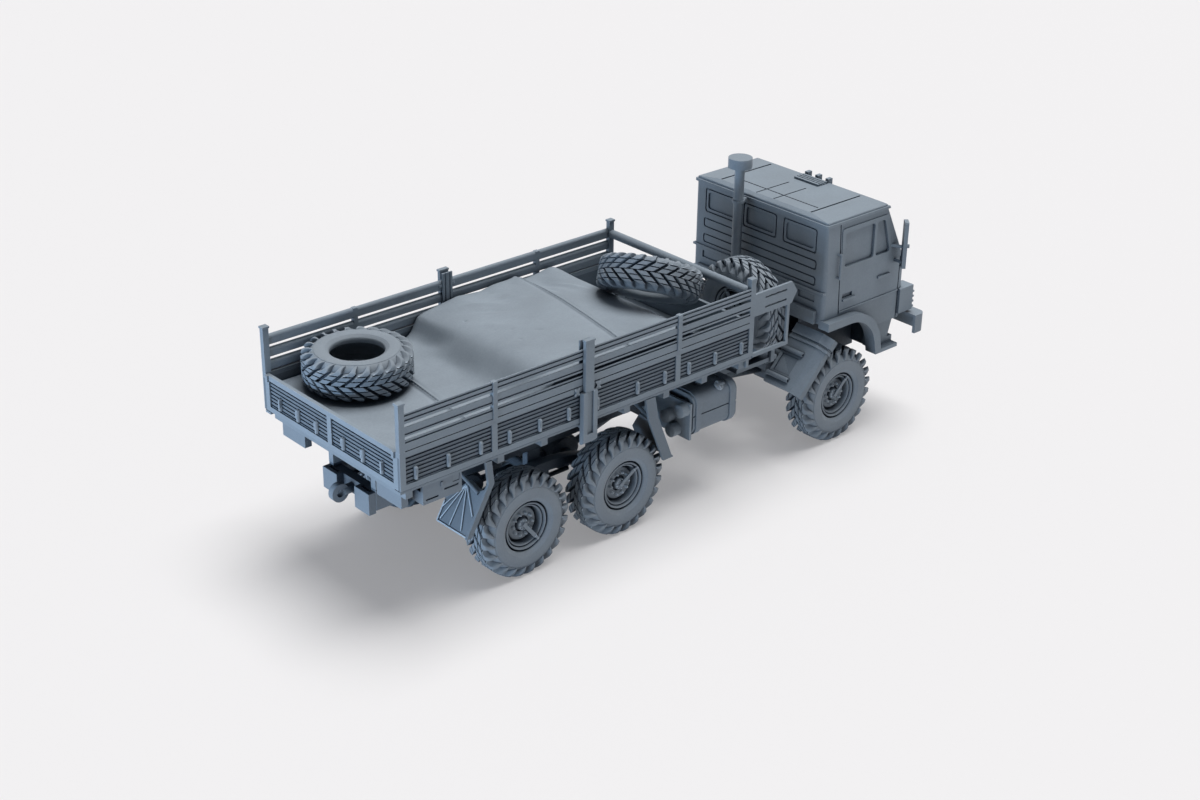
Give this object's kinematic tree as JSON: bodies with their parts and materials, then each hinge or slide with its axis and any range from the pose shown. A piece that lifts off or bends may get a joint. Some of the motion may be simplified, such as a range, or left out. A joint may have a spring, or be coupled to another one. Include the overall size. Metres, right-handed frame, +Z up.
{
  "type": "scale model military cargo truck",
  "caption": "Scale model of a six-wheel-drive cab-over cargo truck with a drop-side bed, slatted upper sides, a sheeted load, loose tyres and rolling wheels.",
  "frame": {"origin": "middle of the outer box's footprint, on the ground under the tyres", "axes": "+X towards the front of the vehicle, +Y to its left, +Z up"},
  "size_m": [0.1472, 0.0474, 0.0618],
  "materials": {
    "body_resin": "satin blue-grey printed resin",
    "tyre_resin": "satin blue-grey printed resin"
  },
  "bodies": {
    "truck": {"air_tanks": "body_resin", "battery_box": "body_resin", "bed_floor": "body_resin", "cab_floor": "body_resin", "cab_shell": "body_resin", "cab_steps": "body_resin", "carrier_side_board": "body_resin", "centre_posts": "body_resin", "chassis_frame": "body_resin", "engine_block": "body_resin", "front_axle": "body_resin", "front_bar": "body_resin", "front_board": "body_resin", "front_bumper": "body_resin", "front_grille": "body_resin", "front_mudguards": "body_resin", "front_springs": "body_resin", "fuel_tanks": "body_resin", "intake_stack": "body_resin", "lamp_guards": "body_resin", "loose_tyre_front": "tyre_resin", "loose_tyre_rear": "tyre_resin", "middle_axle": "body_resin", "middle_mudflaps": "body_resin", "mirror_left": "body_resin", "mirror_right": "body_resin", "propeller_shafts": "body_resin", "rear_axle": "body_resin", "rear_buffers": "body_resin", "rear_mudflaps": "body_resin", "rear_springs": "body_resin", "roof_hatch": "body_resin", "roof_lamps": "body_resin", "side_board_left": "body_resin", "side_board_right": "body_resin", "spare_carrier": "body_resin", "spare_rim": "body_resin", "spare_tyre": "tyre_resin", "tail_lamps": "body_resin", "tailgate": "body_resin", "tarpaulin_load": "body_resin", "tool_boxes": "body_resin", "torque_rods": "body_resin", "towing_eye": "body_resin", "transfer_case": "body_resin", "upper_side_left": "body_resin", "upper_side_right": "body_resin"},
    "wheel_rear_left": {"tyre_rear_left": "tyre_resin", "rim_rear_left": "body_resin"},
    "wheel_rear_right": {"tyre_rear_right": "tyre_resin", "rim_rear_right": "body_resin"},
    "wheel_middle_left": {"tyre_middle_left": "tyre_resin", "rim_middle_left": "body_resin"},
    "wheel_middle_right": {"tyre_middle_right": "tyre_resin", "rim_middle_right": "body_resin"},
    "wheel_front_left": {"tyre_front_left": "tyre_resin", "rim_front_left": "body_resin"},
    "wheel_front_right": {"tyre_front_right": "tyre_resin", "rim_front_right": "body_resin"}
  },
  "joints": [
    {"name": "rear_left_roll", "type": "hinge", "parent": "truck", "child": "wheel_rear_left", "pos_m": [-0.0425, 0.0183, 0.0109], "axis": [0, 1, 0], "continuous": true},
    {"name": "rear_right_roll", "type": "hinge", "parent": "truck", "child": "wheel_rear_right", "pos_m": [-0.0425, -0.0183, 0.0109], "axis": [0, 1, 0], "continuous": true},
    {"name": "middle_left_roll", "type": "hinge", "parent": "truck", "child": "wheel_middle_left", "pos_m": [-0.017, 0.0183, 0.0109], "axis": [0, 1, 0], "continuous": true},
    {"name": "middle_right_roll", "type": "hinge", "parent": "truck", "child": "wheel_middle_right", "pos_m": [-0.017, -0.0183, 0.0109], "axis": [0, 1, 0], "continuous": true},
    {"name": "front_left_roll", "type": "hinge", "parent": "truck", "child": "wheel_front_left", "pos_m": [0.0475, 0.0183, 0.0109], "axis": [0, 1, 0], "continuous": true},
    {"name": "front_right_roll", "type": "hinge", "parent": "truck", "child": "wheel_front_right", "pos_m": [0.0475, -0.0183, 0.0109], "axis": [0, 1, 0], "continuous": true}
  ]
}
